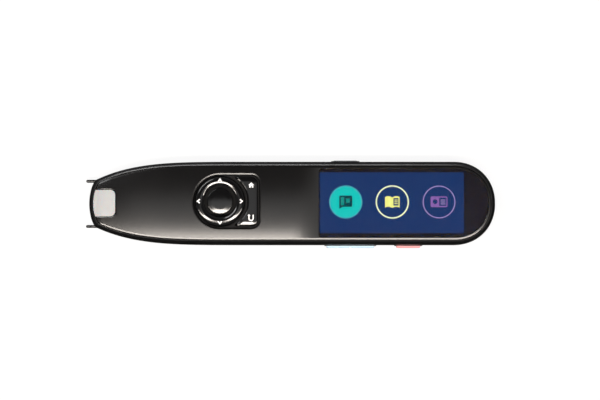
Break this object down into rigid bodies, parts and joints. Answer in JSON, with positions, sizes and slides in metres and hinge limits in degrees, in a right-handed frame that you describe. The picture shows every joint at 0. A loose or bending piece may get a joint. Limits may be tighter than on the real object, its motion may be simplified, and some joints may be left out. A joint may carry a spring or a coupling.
{
  "type": "scanning pen",
  "caption": "Slim hand-held reading pen with a scanning nose on two feet, a tilting direction ring with a centre button, a long colour screen and coloured side keys.",
  "frame": {"origin": "on the flat back, half way between the tips of the nose feet and the tail, on the case's centre line", "axes": "+X from the nose to the tail, +Z out of the face that carries the screen, +Y to the side with the small dark key"},
  "size_m": [0.1476, 0.0315, 0.0132],
  "materials": {
    "satin_black": "satin, fine moulded grain",
    "gloss_black": "polished, lightly crowned",
    "key_black": "polished, white printed marks",
    "frosted": "frosted translucent acrylic",
    "clear": "clear acrylic",
    "cover_glass": "polished, black behind its border",
    "screen": "lit, dark blue with round pictograms",
    "white_plastic": "moulded",
    "key_blue": "pale blue, satin gloss",
    "key_red": "coral red, satin gloss",
    "key_navy": "dark slate blue, satin gloss",
    "silicone": "matt silicone",
    "board": "green solder mask",
    "steel": "stamped stainless",
    "dark_plastic": "moulded",
    "lens_glass": "coated lens",
    "lamp": "yellow phosphor",
    "film": "amber flexible circuit",
    "foil": "pouch foil",
    "lead_red": "insulated lead",
    "lead_black": "insulated lead"
  },
  "bodies": {
    "case": {"back_shell": "satin_black", "face_plate": "gloss_black", "nose_window": "frosted", "scan_window": "clear", "nib_spring": "steel", "tip_switch": "dark_plastic", "lens_barrel": "dark_plastic", "camera_lens": "lens_glass", "image_sensor": "dark_plastic", "sensor_board": "board", "led_board": "board", "scan_led_left": "lamp", "scan_led_right": "lamp", "display_glass": "cover_glass", "display_panel": "screen", "display_backlight": "white_plastic", "display_ribbon": "film", "key_frame": "key_black", "key_mat": "silicone", "dome_centre": "steel", "dome_right": "steel", "dome_up": "steel", "dome_left": "steel", "dome_down": "steel", "dome_home": "steel", "dome_back": "steel", "volume_switch_up": "steel", "volume_switch_down": "steel", "power_switch": "steel", "record_switch": "steel", "main_board": "board", "shield_can": "steel", "processor": "dark_plastic", "memory_chip": "dark_plastic", "battery": "foil", "battery_protector": "board", "battery_socket": "white_plastic", "battery_lead_red": "lead_red", "battery_lead_black": "lead_black", "speaker": "dark_plastic", "speaker_mesh": "steel", "microphone": "steel", "usb_shell": "steel", "usb_tongue": "dark_plastic", "case_screw_1": "steel", "case_screw_2": "steel", "case_screw_3": "steel", "case_screw_4": "steel"},
    "nav_collar": {"nav_collar": "silicone"},
    "nav_ring": {"nav_ring": "key_black"},
    "centre_button": {"centre_button": "key_black"},
    "rocker_key": {"rocker_key": "key_black"},
    "volume_key": {"volume_key": "key_blue"},
    "power_key": {"power_key": "key_red"},
    "record_key": {"record_key": "key_navy"},
    "nib_foot": {"nib_foot": "satin_black"}
  },
  "joints": [
    {"name": "ring_tilt_across", "type": "hinge", "parent": "case", "child": "nav_collar", "pos_m": [-0.02505, 0.00055, 0.01025], "axis": [1, 0, 0], "range_deg": [-2, 2], "stiffness_Nm_per_rad": 0.2},
    {"name": "ring_tilt_along", "type": "hinge", "parent": "nav_collar", "child": "nav_ring", "pos_m": [-0.02505, 0.00055, 0.01025], "axis": [0, 1, 0], "range_deg": [-2, 2], "stiffness_Nm_per_rad": 0.2},
    {"name": "centre_button_press", "type": "slide", "parent": "case", "child": "centre_button", "axis": [0, 0, -1], "range_m": [0, 0.00035], "stiffness_N_per_m": 2500},
    {"name": "rocker_key_tilt", "type": "hinge", "parent": "case", "child": "rocker_key", "pos_m": [-0.0136, 0.00055, 0.0106], "axis": [1, 0, 0], "range_deg": [-2, 2], "stiffness_Nm_per_rad": 0.15},
    {"name": "volume_key_tilt", "type": "hinge", "parent": "case", "child": "volume_key", "pos_m": [0.02175, -0.0132, 0.0053], "axis": [0, 0, 1], "range_deg": [-1.5, 1.5], "stiffness_Nm_per_rad": 0.3},
    {"name": "power_key_press", "type": "slide", "parent": "case", "child": "power_key", "axis": [0, 1, 0], "range_m": [0, 0.00035], "stiffness_N_per_m": 2500},
    {"name": "record_key_press", "type": "slide", "parent": "case", "child": "record_key", "axis": [0, -1, 0], "range_m": [0, 0.00035], "stiffness_N_per_m": 2500},
    {"name": "nib_foot_press", "type": "slide", "parent": "case", "child": "nib_foot", "axis": [1, 0, 0], "range_m": [0, 0.0008], "stiffness_N_per_m": 600, "deforming": ["nib_spring"]}
  ]
}
